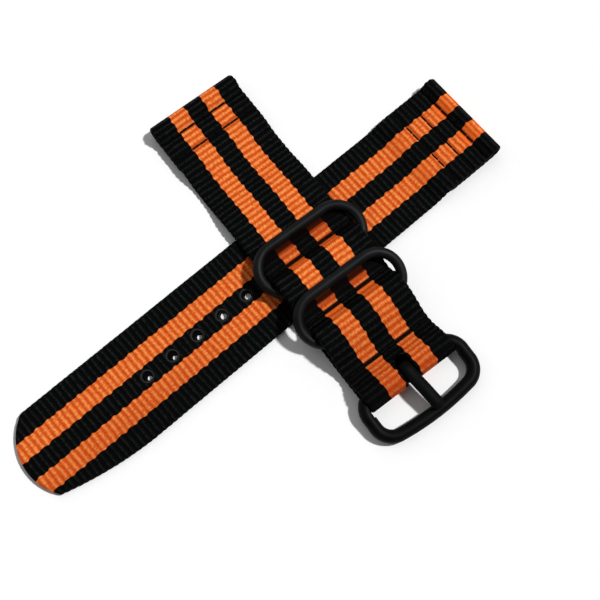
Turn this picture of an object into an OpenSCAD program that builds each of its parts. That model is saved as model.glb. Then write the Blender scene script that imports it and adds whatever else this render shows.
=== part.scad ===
// Two-piece nylon watch strap: a long tail piece with eyelets lies flat, and the
// short buckle piece, with two wire keepers, a frame and a tongue, crosses over it.
// Units are millimetres. Z is up, Y runs from the buckle to the lug end of the
// buckle piece, and the origin is the middle of the bottom of the whole set.

/* [Webbing] */
// Width of the webbing
strap_w = 21.6; // [18:0.1:24]
// Thickness of one layer of webbing
web_t = 1.3; // [1:0.05:1.6]
// Width of the black band between the two stripes
centre_band = 4.2; // [3:0.1:6]
// Width of each orange stripe
stripe_w = 3.9; // [2:0.1:5]
// Air between layers that lie on each other
lay_gap = 0.1; // [0.05:0.05:0.2]

/* [Spring bar loops] */
// Diameter of the hole for the spring bar
bore_d = 1.9; // [1.5:0.1:2]
// Thickness of the webbing drawn round the spring bar
loop_wall = 1.1; // [0.9:0.05:1.3]

/* [Tail piece] */
// Length from the rounded tip to the end of the spring bar loop
tail_len = 118; // [105:1:140]
// Radius that the tip is cut to
tip_r = 12.5; // [12:0.1:20]
// Distance from the tip to where one edge starts to taper
taper_len = 23; // [18:0.5:27]
// Radius of the curve that this edge tapers along
taper_r = 82; // [60:1:150]
// Distance from the tip to the first eyelet
first_eyelet = 30; // [20:0.5:38]
// Distance between eyelets
eyelet_pitch = 6.5; // [5:0.1:7]
// Number of eyelets
eyelet_count = 8; // [4:1:9]
// Diameter of an eyelet
eyelet_d = 2.1; // [1.6:0.1:2.6]
// Diameter of the melted rim round an eyelet
rim_d = 2.9; // [2.7:0.1:3.8]
// Depth of the melted rim on each face
rim_depth = 0.12; // [0.05:0.01:0.2]
// Distance from the loop's end to the first stitch row
tail_row = 3.9; // [3.7:0.1:4.5]
// Distance between the stitch rows
tail_row_pitch = 4.15; // [3:0.05:5]
// Length of the layer that is folded under
tail_fold = 13.6; // [13:0.1:16]

/* [Buckle piece] */
// Distance from the loop's end to the first stitch row
lug_row = 4.7; // [4:0.1:5]
// Distance from the first to the second stitch row
lug_row_pitch = 4.7; // [3:0.1:5]
// Length of the layer that is folded under
lug_fold = 11.2; // [10.6:0.1:13]
// Distance from the crossing to the stitch row on the lug side of the upper keeper
cross_to_row = 1.7; // [1.2:0.1:2.5]
// How far the layer that comes back from the buckle reaches past that row
return_lap = 2.2; // [1.8:0.1:3]
// Distance from that row to the upper keeper's lower arm in its pocket
row_to_upper_arm = 5.4; // [5:0.1:6.5]
// Distance from the upper keeper's lower arm to the middle stitch row
upper_arm_to_row = 7.1; // [6.5:0.1:8.5]
// Distance from the middle row to the lower keeper's lower arm in its pocket
row_to_lower_arm = 5.9; // [5.2:0.1:6.5]
// Distance from the lower keeper's lower arm to the row beside the buckle
lower_arm_to_row = 7.4; // [6.6:0.1:8.5]
// Distance from that row to the frame's pivot in the fold
row_to_pivot = 6.1; // [5.6:0.1:7.5]

/* [Crossing] */
// Where the tail passes under the buckle piece, from the buckle piece's loop
cross_at = 41; // [40:0.5:42]
// The same place on the tail, from its tip
cross_tail = 72; // [66:0.5:76]
// Angle by which the tail is off square to the buckle piece
cross_angle = 3.5; // [0:0.5:6]

/* [Stitching] */
// Diameter of the thread
thread_d = 0.44; // [0.3:0.02:0.5]
// Distance from one stitch to the next
stitch_pitch = 2; // [1.5:0.1:3]
// Gap between two stitches
stitch_gap = 0.25; // [0.15:0.05:0.5]
// Bare webbing beside the last stitch
stitch_margin = 0.8; // [0.4:0.1:2]

/* [Keeper rings] */
// Diameter of the wire
wire_d = 2.2; // [1.8:0.1:2.4]
// Distance between the middles of the two arms
keeper_span = 10.6; // [10:0.1:11]
// Room beside the webbing inside a keeper, on each side
keeper_room = 0.25; // [0.1:0.05:0.6]
// How far the webbing's edge gives way under a keeper's bend
edge_draw = 1; // [0.9:0.1:1.6]
// How far a keeper's upper arm can be lifted, in degrees
keeper_lift = 15; // [8:1:18]

/* [Buckle frame] */
// Length of the frame across the strap
frame_len = 26.7; // [26.4:0.1:30]
// Diameter of the frame's bar
frame_bar = 2.8; // [2.2:0.1:3]
// Diameter of the pivot
pivot_d = 2.5; // [2:0.1:2.8]
// Distance from the pivot to the middle of the outer arm
frame_reach = 9.8; // [9:0.1:12]
// Radius of the bar's middle line at the corners
corner_r = 3.8; // [3:0.1:4.2]
// Radius of the bow of the outer arm
bow_r = 59; // [40:1:120]
// How far the rear corners reach behind the pivot
rear_reach = 0.8; // [0.4:0.1:1.2]

/* [Tongue] */
// Width of the tongue
tongue_w = 2.5; // [2:0.1:3]
// Thickness of the tongue
tongue_t = 1.25; // [1:0.05:1.4]
// Thickness of the eye round the pivot
eye_wall = 0.85; // [0.6:0.05:1]
// How far the tip reaches past the middle of the outer arm
tip_over = 0.1; // [0:0.1:1]
// Room on each side of the tongue in its slot
slot_room = 0.3; // [0.25:0.05:0.6]
// Angle by which the blade leans to one side
tongue_lean = 4.5; // [0:0.5:5]
// How far the slot reaches behind the pivot
slot_back = 3.6; // [3.4:0.1:4.4]

/* [Hidden] */

$fn = 36;
cut = 1;                                // overshoot of a cutting shape
half_w = strap_w / 2;
lay = web_t + lay_gap;                  // height that one layer takes in a stack
loop_r = bore_d / 2 + loop_wall;
stripe_colour = [0.93, 0.40, 0.12];
web_colour = [0.06, 0.06, 0.06];
thread_colour = [0.03, 0.03, 0.03];
metal_colour = [0.10, 0.11, 0.12];

// Clearances between pieces that move on each other
pivot_clear = 0.05;
wire_clear = 0.05;
rest_clear = 0.08;
pin_root = 0.1;                         // how far the pivot pin enters the frame's sides
blade_bow = 0.1;                        // how far the tongue's blade leaves a straight line
root = 0.3;                             // how far one part of the metal enters another
corner_swell = 0.02;                    // how much thicker the corners are, on the radius
side_clear = 0.15;

// Stitch grooves hold the thread just under the surface
thread_r = thread_d / 2;
groove_room = 0.2;
groove_r = thread_r + groove_room;
groove_lift = 0.16;
thread_sink = 0.04;
bond_half = 0.6;                        // half length of the pressed joint under a row

// Lengths over which the webbing rises or falls
loop_fall = 2.4;
fold_fall = 3.6;
tail_rise = 9.5;
step_rise = 6.2;
row_flat = 0.5;                         // flat stretch beside a stitch row
relief_r = 5;                           // radius of the hollow that a keeper presses in an edge
relief_lead = 1.2;                      // from a keeper's arm to the middle of that hollow
relief_h = 12;                          // taller than the stack of layers
edge_room = 0.3;                        // air beside an edge that a layer climbs over
crest_lead = 1;                         // a pocket is full this far before the keeper's bend
crest_hold = 0.5;                       // and stays full this far after it
profile_step = 0.6;                     // distance between points of a profile
slope_step = 0.1;                       // distance over which a slope is measured
taper_dip = 0.05;                       // how far the taper's curve starts outside the edge
tilt_step = 0.1;                        // step in degrees in which a keeper's rest is found

wire_r = wire_d / 2;
bar_r = frame_bar / 2;
pivot_r = pivot_d / 2;
fold_r = pivot_r + pivot_clear + web_t;

// Places along the buckle piece, from its spring bar loop
upper_row = cross_at + cross_to_row;
return_end = upper_row - return_lap;
upper_arm = upper_row + row_to_upper_arm;
middle_row = upper_arm + upper_arm_to_row;
lower_arm = middle_row + row_to_lower_arm;
buckle_row = lower_arm + lower_arm_to_row;
pivot_at = buckle_row + row_to_pivot;

// Smooth climb from 0 at a to 1 at b
function climb(s, a, b) = s <= a ? 0 : s >= b ? 1 : (1 - cos(180 * (s - a) / (b - a))) / 2;

// Where the tail's edges lie under the buckle piece
edge_reach = half_w / cos(cross_angle) + half_w * tan(cross_angle) + edge_room;
over_start = cross_at - edge_reach;
over_end = cross_at + edge_reach;

// Keeper wire: half length of the straight arm, and points of the bend over the
// webbing: how far it has left the arm's axis, and the wire's half height there
keeper_half = half_w + keeper_room + wire_r;
keeper_bend = keeper_span / 2;
keeper_straight = keeper_half - keeper_bend;
drawn_w = half_w - edge_draw;
edge_offset = keeper_bend - sqrt(pow(keeper_bend, 2) - pow(drawn_w - keeper_straight, 2));
bend_points = [for (t = [0 : 5 : 60])
    let (beyond = max(0, keeper_straight + keeper_bend * sin(t) - drawn_w))
    if (beyond < wire_r)
        [keeper_bend * (1 - cos(t)), sqrt(pow(wire_r, 2) - pow(beyond, 2))]];

// Underside of the layer that comes back from the buckle
function back_z(s) = lay * (1 - climb(s, over_end, buckle_row - row_flat));
function keeper_z(s) = back_z(s) + web_t + wire_clear + wire_r;

// Underside of the top layer, first without the pockets
function plain_z(s) =
    lay * (1 - climb(s, lug_fold + edge_room, lug_fold + edge_room + fold_fall))
    + lay * climb(s, over_start - tail_rise, over_start)
    + lay * climb(s, return_end - edge_room - step_rise, return_end - edge_room)
    - lay * climb(s, over_end, buckle_row - row_flat);

// A pocket rises over the keeper's lower arm at s0, tilted by a at most
function pocket_height(a) = 2 * wire_r + wire_clear + edge_offset * sin(a) + rest_clear;
function pocket_z(s, from, s0, to, a) =
    let (crest = s0 - edge_offset * cos(a))
    pocket_height(a) * (climb(s, from + row_flat, crest - crest_lead)
        - climb(s, crest + crest_hold, to - row_flat));

// Vertical thickness that keeps a layer web_t thick where it rises by this over slope_step
function slant_t(rise) = web_t * sqrt(1 + pow(rise / slope_step, 2));

function upper_top(s) = plain_z(s) + slant_t(plain_z(s + slope_step) - plain_z(s));
function lower_under(s) =
    plain_z(s) + pocket_z(s, upper_row, upper_arm, middle_row, upper_tilt + keeper_lift);
function lower_top(s) =
    lower_under(s) + slant_t(lower_under(s + slope_step) - lower_under(s));

// Air under the upper arm of a keeper that is tilted by a about its lower arm at s0
function upper_air(s0, a) = min([for (b = bend_points, d = [-1 : 0.25 : 1])
    keeper_z(s0) + (keeper_span - b[0]) * sin(a) - b[1] * sqrt(1 - d * d)
    - upper_top(s0 - (keeper_span - b[0]) * cos(a) + d * b[1])]);
function lower_air(s0, a) = min([for (b = bend_points, d = [-1 : 0.25 : 1])
    keeper_z(s0) + (keeper_span - b[0]) * sin(a) - b[1] * sqrt(1 - d * d)
    - lower_top(s0 - (keeper_span - b[0]) * cos(a) + d * b[1])]);
function upper_rest(a) = upper_air(upper_arm, a) >= rest_clear ? a : upper_rest(a + tilt_step);
function lower_rest(a) = lower_air(lower_arm, a) >= rest_clear ? a : lower_rest(a + tilt_step);
upper_tilt = upper_rest(0);
lower_tilt = lower_rest(0);

// Underside and upper face of the whole top layer
fold_top = 2 * fold_r - web_t;
function under_z(s) = lower_under(s)
    + pocket_z(s, middle_row, lower_arm, buckle_row, lower_tilt + keeper_lift)
    + (fold_top - lay) * climb(s, buckle_row + row_flat, pivot_at);
function top_z(s) = under_z(s) + slant_t(under_z(s + slope_step) - under_z(s))
    + (2 * loop_r - lay - web_t) * (1 - climb(s, loop_r, loop_r + loop_fall));

// Upper face of the tail, with s measured from its spring bar loop
function tail_z(s) = lay * (1 - climb(s, tail_fold + edge_room, tail_fold + edge_room + fold_fall));
function tail_top(s) = tail_z(s) + slant_t(tail_z(s + slope_step) - tail_z(s))
    + (2 * loop_r - lay - web_t) * (1 - climb(s, loop_r, loop_r + loop_fall));

// The frame leans down from the pivot until its outer arm rests on the floor
frame_tilt = asin((fold_r - bar_r) / frame_reach);
buckle_len = pivot_at + frame_reach * cos(frame_tilt) + bar_r;

// Places in the shared frame
tail_start_x = -(tip_r * (cos(cross_angle) - 1) + tail_len * cos(cross_angle)
    + half_w * sin(cross_angle)) / 2;
buckle_x = tail_start_x + cross_tail * cos(cross_angle);
lug_y = buckle_len / 2;
tail_start_y = lug_y - cross_at - cross_tail * sin(cross_angle);

// Local axes of both pieces: x along the webbing from its loop, y up, z across
module on_buckle_piece() {
    translate([buckle_x, lug_y, 0]) rotate([90, 0, -90]) children();
}

module on_tail_piece() {
    translate([tail_start_x, tail_start_y, 0]) rotate([0, 0, cross_angle])
        translate([tail_len, 0, 0]) rotate([90, 0, 180]) children();
}

// Points of a layer between two lists of stations
function stations(a, b) =
    let (n = ceil((b - a) / profile_step)) [for (i = [0 : n]) a + (b - a) * i / n];
function reversed(list) = [for (i = [len(list) - 1 : -1 : 0]) list[i]];

// One profile drawn across the strap in its woven bands
module woven() {
    inner = centre_band / 2;
    outer = inner + stripe_w;
    color(web_colour) linear_extrude(2 * inner, center = true) children();
    for (side = [-1, 1]) {
        color(stripe_colour) translate([0, 0, side * (inner + outer) / 2])
            linear_extrude(stripe_w, center = true) children();
        color(web_colour) translate([0, 0, side * (outer + half_w) / 2])
            linear_extrude(half_w - outer, center = true) children();
    }
}

// Groove and thread of a stitch row on a face at height z; side is 1 on an upper face
module groove(s, z, side) {
    translate([s, z - side * (thread_sink + thread_r - groove_lift), 0])
        cylinder(r = groove_r, h = strap_w + 2 * cut, center = true);
}

module stitches(s, z, side) {
    row_w = strap_w - 2 * stitch_margin;
    count = floor((row_w + stitch_gap) / stitch_pitch);
    color(thread_colour) for (i = [0 : count - 1])
        translate([s, z - side * (thread_sink + thread_r), (i - (count - 1) / 2) * stitch_pitch])
            cylinder(r = thread_r, h = stitch_pitch - stitch_gap, center = true, $fn = 16);
}

// Joint under a stitch row, where the layers are pressed together
module bond(s, z) {
    translate([s - bond_half, z - web_t / 2]) square([2 * bond_half, web_t]);
}

// Spring bar loop at the end of a piece, closed up to its first stitch row
module loop_profile(row) {
    translate([loop_r, loop_r]) circle(r = loop_r);
    translate([loop_r, web_t / 2]) square([row + bond_half - loop_r, web_t]);
}

module tail_profile() {
    run = stations(loop_r, tail_len);
    polygon(concat([for (s = run) [s, tail_z(s)]], reversed([for (s = run) [s, tail_top(s)]])));
    translate([loop_r, 0]) square([tail_fold - loop_r, web_t]);
    loop_profile(tail_row);
    for (i = [1, 2]) bond(tail_row + i * tail_row_pitch, web_t);
}

module buckle_profile() {
    run = stations(loop_r, pivot_at);
    back = stations(return_end, pivot_at);
    polygon(concat([for (s = run) [s, under_z(s)]], reversed([for (s = run) [s, top_z(s)]])));
    polygon(concat([for (s = back) [s, back_z(s)]],
        reversed([for (s = back) [s, back_z(s) + slant_t(back_z(s + slope_step) - back_z(s))]])));
    translate([loop_r, 0]) square([lug_fold - loop_r, web_t]);
    loop_profile(lug_row);
    bond(lug_row + lug_row_pitch, web_t);
    for (s = [upper_row, middle_row, buckle_row]) bond(s, back_z(s) + web_t);
    intersection() {
        translate([pivot_at, fold_r]) circle(r = fold_r);
        translate([pivot_at, 0]) square([fold_r, 2 * fold_r]);
    }
}

module tail_webbing() {
    on_tail_piece() difference() {
        woven() tail_profile();
        translate([loop_r, loop_r, 0])
            cylinder(d = bore_d, h = strap_w + 2 * cut, center = true);
        for (i = [0 : 2]) {
            groove(tail_row + i * tail_row_pitch, tail_top(tail_row + i * tail_row_pitch), 1);
            groove(tail_row + i * tail_row_pitch, 0, -1);
        }
        for (i = [0 : eyelet_count - 1]) eyelet(tail_len - first_eyelet - i * eyelet_pitch);
        tip_cut();
    }
}

// Round hole whose rim was melted flat on both faces
module eyelet(s) {
    translate([s, web_t / 2, 0]) rotate([90, 0, 0]) {
        cylinder(d = eyelet_d, h = web_t + 2 * cut, center = true);
        for (side = [0, 1]) mirror([0, 0, side])
            translate([0, 0, web_t / 2 - rim_depth]) cylinder(d = rim_d, h = rim_depth + cut);
    }
}

// Everything outside the round tip and the long taper of one edge
module tip_cut() {
    height = web_t + 2 * cut;
    run = taper_len + sqrt(pow(taper_r, 2) - pow(taper_r - taper_dip, 2));
    centre = taper_r - taper_dip - half_w;
    translate([tail_len - tip_r, -cut, 0]) rotate([-90, 0, 0]) difference() {
        translate([0, -strap_w, 0]) cube([tip_r + cut, 2 * strap_w, height]);
        cylinder(r = tip_r, h = height, $fn = 96);
    }
    translate([tail_len - run, -cut, centre]) rotate([-90, 0, 0]) difference() {
        translate([0, centre, 0]) cube([run + cut, half_w + cut, height]);
        cylinder(r = taper_r, h = height, $fn = 360);
    }
}

module tail_stitch_row(i) {
    s = tail_row + (i - 1) * tail_row_pitch;
    on_tail_piece() {
        stitches(s, tail_top(s), 1);
        stitches(s, 0, -1);
    }
}

module buckle_webbing() {
    on_buckle_piece() difference() {
        woven() buckle_profile();
        edge_relief(upper_arm, upper_tilt);
        edge_relief(lower_arm, lower_tilt);
        translate([loop_r, loop_r, 0])
            cylinder(d = bore_d, h = strap_w + 2 * cut, center = true);
        translate([pivot_at, fold_r, 0])
            cylinder(r = pivot_r + pivot_clear, h = strap_w + 2 * cut, center = true);
        for (s = [lug_row, lug_row + lug_row_pitch]) {
            groove(s, top_z(s), 1);
            groove(s, 0, -1);
        }
        for (s = [upper_row, middle_row, buckle_row]) {
            groove(s, top_z(s), 1);
            groove(s, back_z(s), -1);
        }
        tongue_slot();
    }
}

// Shallow hollows in the edges, where the bends of a keeper press the webbing in
module edge_relief(s0, tilt) {
    for (s = [s0 - relief_lead, s0 - keeper_span * cos(tilt) + relief_lead], side = [0, 1])
        mirror([0, 0, side]) translate([s, -cut, drawn_w + relief_r]) rotate([-90, 0, 0])
            cylinder(r = relief_r, h = relief_h);
}

// Slot through both layers of the fold, with a round end towards the lugs
module tongue_slot() {
    slot_w = tongue_w + 2 * slot_room;
    translate([pivot_at - slot_back + slot_w / 2, -cut, 0]) rotate([-90, 0, 0]) {
        cylinder(d = slot_w, h = 2 * fold_r + 2 * cut);
        translate([0, -slot_w / 2, 0])
            cube([slot_back + fold_r, slot_w, 2 * fold_r + 2 * cut]);
    }
}

module buckle_piece_row(s, under) {
    on_buckle_piece() {
        stitches(s, top_z(s), 1);
        stitches(s, under, -1);
    }
}

// Keeper ring of bent wire: its lower arm lies in the pocket, its upper arm on top
module keeper_ring(s0, tilt) {
    color(metal_colour) on_buckle_piece()
        translate([s0, keeper_z(s0), 0]) rotate([0, 0, -tilt]) {
            for (p = [0, -keeper_span]) translate([p, 0, 0])
                cylinder(r = wire_r, h = 2 * keeper_straight, center = true);
            for (side = [0, 1]) mirror([0, 0, side])
                translate([-keeper_bend, 0, keeper_straight]) rotate([90, 0, 0])
                    bend(keeper_bend, wire_r, 0, 180);
        }
}

// Part of a ring of bar, from one angle to another
module bend(r, bar, from, to) {
    rotate([0, 0, from]) rotate_extrude(angle = to - from, $fn = 64)
        translate([r, 0]) circle(r = bar);
}

// Frame of round bar with a bowed outer arm; the pivot is a straight pin across it.
// The corners are a hair thicker than the arms, so the arms end inside them.
module buckle_frame() {
    side_q = frame_len / 2 - bar_r;
    bow_angle = asin((side_q - corner_r) / (bow_r - corner_r));
    bow_root = asin(root / bow_r);
    corner_p = frame_reach - bow_r + (bow_r - corner_r) * cos(bow_angle);
    rear_p = corner_r - rear_reach;
    color(metal_colour) on_buckle_piece()
        translate([pivot_at, fold_r, 0]) rotate([0, 0, -frame_tilt]) {
            difference() {
                union() {
                    translate([frame_reach - bow_r, 0, 0]) rotate([90, 0, 0])
                        bend(bow_r, bar_r, -bow_angle - bow_root, bow_angle + bow_root);
                    for (side = [0, 1]) mirror([0, 0, side]) {
                        translate([corner_p, 0, side_q - corner_r]) rotate([90, 0, 0])
                            bend(corner_r, bar_r + corner_swell, bow_angle, 90);
                        translate([rear_p - root, 0, side_q]) rotate([0, 90, 0])
                            cylinder(r = bar_r, h = corner_p - rear_p + 2 * root);
                        translate([rear_p, 0, side_q - corner_r]) rotate([90, 0, 0])
                            bend(corner_r, bar_r + corner_swell, 90, 180);
                    }
                }
                translate([-corner_r - frame_bar, -bar_r - cut, -half_w - side_clear])
                    cube([corner_r + frame_bar + rear_p + root + side_clear,
                        frame_bar + 2 * cut, strap_w + 2 * side_clear]);
            }
            cylinder(r = pivot_r, h = strap_w + 2 * side_clear + 2 * pin_root, center = true);
        }
}

// Tongue: an eye round the pivot and a flat blade that rests on the outer arm
module buckle_tongue() {
    eye_r = pivot_r + pivot_clear + eye_wall;
    seat = bar_r + rest_clear;
    tip = frame_reach + tip_over;
    bevel = tongue_t * 0.55;
    color(metal_colour) on_buckle_piece()
        translate([pivot_at, fold_r, 0]) rotate([0, 0, -frame_tilt]) difference() {
            union() {
                cylinder(r = eye_r, h = tongue_w, center = true);
                rotate([0, tongue_lean, 0]) intersection() {
                    linear_extrude(tongue_w, center = true) polygon([
                        [-root, eye_r - blade_bow],
                        [-root, eye_r - tongue_t],
                        [frame_reach / 2, seat - blade_bow],
                        [frame_reach - bar_r, seat],
                        [tip, seat],
                        [tip, seat + tongue_t - bevel],
                        [tip - tongue_t, seat + tongue_t],
                        [frame_reach / 2, seat + tongue_t],
                        [eye_r, eye_r + blade_bow]
                    ]);
                    rotate([-90, 0, 0]) {
                        translate([-root, -tongue_w / 2, 0])
                            cube([tip - tongue_w / 2 + root, tongue_w, 2 * eye_r]);
                        translate([tip - tongue_w / 2, 0, 0]) cylinder(d = tongue_w, h = 2 * eye_r);
                    }
                }
            }
            cylinder(r = pivot_r + pivot_clear, h = tongue_w + 2 * cut, center = true);
        }
}

tail_webbing();
tail_stitch_row(1);  // tail_stitch_row_1
tail_stitch_row(2);  // tail_stitch_row_2
tail_stitch_row(3);  // tail_stitch_row_3
buckle_webbing();
buckle_piece_row(lug_row, 0);  // lug_stitch_row_1
buckle_piece_row(lug_row + lug_row_pitch, 0);  // lug_stitch_row_2
buckle_piece_row(upper_row, back_z(upper_row));  // upper_keeper_stitch_row
buckle_piece_row(middle_row, back_z(middle_row));  // middle_stitch_row
buckle_piece_row(buckle_row, back_z(buckle_row));  // buckle_stitch_row
keeper_ring(upper_arm, upper_tilt);  // upper_keeper_ring
keeper_ring(lower_arm, lower_tilt);  // lower_keeper_ring
buckle_frame();
buckle_tongue();

echo(keepers_deg = [upper_tilt, lower_tilt], frame_tilt = frame_tilt, length = buckle_len);
echo(buckle_x = buckle_x, lug_y = lug_y, tail_start = [tail_start_x, tail_start_y]);
echo(keeper_z = [keeper_z(upper_arm), keeper_z(lower_arm)], pivot_z = fold_r);
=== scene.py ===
"""Looks of the two-piece nylon watch strap: woven webbing, sewn thread and black metal.

Sizes are in millimetres along the webbing and are turned into metres when a mesh is made.
s runs along a piece from its spring bar loop, q across it, and h is the height. u is the
distance along a piece's folded ribbon, from the cut end of the fold under its loop.
"""
import math
from collections import namedtuple

import bmesh
import bpy
import numpy as np
from mathutils import Matrix, Vector


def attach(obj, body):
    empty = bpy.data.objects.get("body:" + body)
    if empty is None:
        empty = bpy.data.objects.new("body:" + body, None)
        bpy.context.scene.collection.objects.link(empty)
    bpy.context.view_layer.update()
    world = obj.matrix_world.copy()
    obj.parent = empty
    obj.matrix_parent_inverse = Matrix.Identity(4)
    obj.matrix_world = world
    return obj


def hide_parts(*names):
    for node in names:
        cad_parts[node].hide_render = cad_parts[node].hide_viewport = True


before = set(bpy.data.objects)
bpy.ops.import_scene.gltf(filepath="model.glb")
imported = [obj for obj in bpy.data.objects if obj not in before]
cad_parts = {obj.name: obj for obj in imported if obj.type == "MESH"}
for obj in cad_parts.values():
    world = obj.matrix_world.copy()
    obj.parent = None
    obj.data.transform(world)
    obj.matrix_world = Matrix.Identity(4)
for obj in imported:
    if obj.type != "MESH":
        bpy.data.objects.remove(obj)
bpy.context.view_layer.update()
rng = np.random.default_rng(7)

# Webbing and loops
STRAP_W, WEB_T, LAY_GAP = 21.6, 1.3, 0.1
HALF_W, LAY = STRAP_W / 2, WEB_T + LAY_GAP
CENTRE_BAND, STRIPE_W = 4.2, 3.9
BORE_R, LOOP_WALL = 0.95, 1.1
LOOP_R = BORE_R + LOOP_WALL
LOOP_FALL, FOLD_FALL, EDGE_ROOM = 3.0, 5.5, 0.3
# Where the lower and the upper layer leave a loop's bore, in degrees round it
LOW_LEAVES, TOP_LEAVES = -48, -42
# How far from the loop the top layer's upper face is still paired with the bore
BY_LOOP = 4.0

# Tail piece
TAIL_LEN, TIP_R, TAIL_FOLD = 118.0, 12.5, 13.6
TAPER_LEN, TAPER_R, TAPER_DIP, TAPER_FROM = 23.0, 82.0, 0.05, 2.5
FIRST_EYELET, EYELET_PITCH, EYELET_COUNT = TAIL_LEN - 30, 6.5, 8
EYELETS = [FIRST_EYELET - EYELET_PITCH * i for i in range(EYELET_COUNT)]
EYELET_R, RIM_R = 1.05, 1.45
# The lower edge of each eyelet: how far it is off along and across the strap, and its radius
LOWER_EDGES = [(-0.24, -0.44, 0.5), (-0.26, -0.46, 0.5), (-0.22, -0.42, 0.54)] + [(-0.3, -0.15, 0.64)] * 5
TAIL_ROWS = [3.9 + 4.15 * i for i in range(3)]
CROSS_DEG = 3.5

# Buckle piece
LUG_FOLD, LUG_ROWS = 11.2, [4.7, 9.4]
CROSS_AT, RETURN_END = 41.0, 40.5
UPPER_ROW, MIDDLE_ROW, BUCKLE_ROW = 42.7, 55.2, 68.5
UPPER_ARM, LOWER_ARM, PIVOT_AT = 48.1, 61.1, 74.6
TAIL_RISE, STEP_RISE, ROW_FLAT = 9.5, 6.2, 0.5
FOLD_R, FOLD_BORE = 2.6, 1.3
SLOT_HALF, SLOT_BACK, SLOT_BELOW = 1.55, 3.6, 2.5
TONGUE_HALF, TONGUE_LEAN = 1.25, 4.5

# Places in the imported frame: the tail's tip, the buckle piece's middle line and its loop end
TAIL_START = (-59.208, -2.53237)
BUCKLE_X, LUG_Y = 12.6577, 42.8631

# Keepers
WIRE_R, SPAN, KEEPER_LIFT = 1.1, 10.6, 15
UPPER_TILT, LOWER_TILT = 7.5, 21.9
WIRE_CLEAR, REST_CLEAR, EDGE_AIR = 0.05, 0.08, 0.16
KEEPER_STRAIGHT = HALF_W + 0.25 + WIRE_R - SPAN / 2
DRAWN_W = HALF_W - 1.0
CREST_LEAD, CREST_HOLD = 1.0, 0.5
# Points of half a bend, and the turns at which the webbing's edges clear a keeper, in degrees
BEND_STEPS = range(0, 86, 4)
CLEAR_TURNS = (("lower", (0, 5, 10, KEEPER_LIFT)), ("upper", (0,)))

# Weave: ribs across the webbing and yarns along it
PITCH, PER_RIB, RIB_DEPTH = 1.306, 8, 0.13
RIB_ROUND, RIB_UNEVEN = 0.7, 0.22
# How far the ribs wander, and the turns of that wave across and along the webbing with their starts
WANDER, WANDER_ACROSS, WANDER_ALONG = 0.045, (0.9, 1.3), (0.37, 0.4)
YARN_W, YARN_DEPTH = 0.36, 0.014
# The underside's share of the relief, and the most of the thickness that either face may sink
UNDER_RELIEF, MOST_SUNK, MOST_SUNK_UNDER = 0.5, 0.4, 0.2
# Selvedges: radius, how far they are drawn in on a crest and how much more in a valley, and from where
EDGE_R, PULL, VALLEY_PULL, PULL_FROM = 0.5, 0.02, 0.16, 7.0
# Columns of points across the webbing: turns over an eyelet and round a selvedge, and places between
EYELET_TURNS, EDGE_TURNS = range(0, 91, 15), (25, 50, 72, 90)
BESIDE_HOLES, REST_FROM, REST_COUNT = (1.3, SLOT_HALF, 1.9), 2.3, 16
# Melted cut ends, and how far from the edge the tip's and the taper's melting starts and is full
CUT_SEAL, MELT_DEPTH = 0.6, 0.16
TIP_SEAL, TAPER_SEAL, TAPER_START = (0.55, 0.1), (0.45, 0.1), 0.3
# Eyelet rims: where outside a rim the melting starts and is full, the rim's height, and how far
# outside it the webbing's underside is still moved with the eyelet's lower edge
RIM_SEAL, RIM_RISE, RIM_SLOPE = (0.12, -0.03), 0.09, 0.6
# Sewn-in rows
ROW_DEPTH, ROW_SPREAD, ROW_BLUR = 0.34, 0.42, 0.1
# How far the webbing is painted black on each side of a row, as shade in its sunk groove
TAIL_BLACK, LUG_BLACK, KEEPER_BLACK = 0.08, 0.22, 0.5

# Thread
STITCHES, STITCH_PITCH, STITCH_GAP = 10, 2.0, 0.12
STITCH_RINGS, STITCH_SIDES = 15, 10
THREAD_SINK, STITCH_DIP, STITCH_LEAN, STITCH_SLACK = 0.24, 0.2, 0.05, 0.03
PLY_DEPTH, PLY_TWIST, ALONG_STITCH = 0.14, 2.6, 0.9
# The share of half a stitch at which it starts to dip and to end, and how thick its end is
DIP_FROM, END_FROM, END_THICK = 0.72, 0.86, 0.08
TAIL_THREAD_R, LUG_THREAD_R, KEEPER_THREAD_R = 0.17, 0.2, 0.25

# Camera of the photo, fitted to it: half the picture and the focal length in pixels
HALF_PHOTO_PX, FOCAL_PX = 300, 1109.3
CAMERA_AT = (-0.03316, -0.05661, 0.22034)
CAMERA_RIGHT, CAMERA_AHEAD = (0.79572, -0.60567, 0), (0.16695, 0.21933, -0.96126)

# Distance between the points of a path, a very small distance, and a height out of reach
STEP, TINY, OUT_OF_REACH = 0.1, 1e-6, 99
# Rounds of smoothing the curl of the edges, and of finding where the tip ends in each column
SOFT_ROUNDS, TIP_ROUNDS = 24, 12

Keeper = namedtuple("Keeper", "arm tilt row_before row_after")
KEEPERS = (
    Keeper(UPPER_ARM, UPPER_TILT, UPPER_ROW, MIDDLE_ROW),
    Keeper(LOWER_ARM, LOWER_TILT, MIDDLE_ROW, BUCKLE_ROW),
)
# A hole from low to high along the ribbon, with round ends; lower_edge is None for a plain slot
Hole = namedtuple("Hole", "low high half lower_edge")


def ramp(value, start, full):
    """0 up to start, 1 from full on and straight between them; full may also lie below start."""
    return np.clip((value - start) / (full - start), 0, 1)


def climb(s, a, b):
    """Smooth climb from 0 at a to 1 at b."""
    return (1 - np.cos(np.pi * ramp(s, a, b))) / 2


def zone(s, start, full, fade, end):
    """0 up to start, 1 from full to fade and 0 again from end on."""
    return climb(s, start, full) * (1 - climb(s, fade, end))


def arc(start, end, count):
    """Unit vectors turning from one angle to another."""
    turn = np.linspace(start, end, count)
    return np.c_[np.cos(turn), np.sin(turn)]


def travel(points):
    """Distance along a path at each of its points."""
    return np.r_[0, np.cumsum(np.hypot(*np.diff(points, axis=0).T))]


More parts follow.
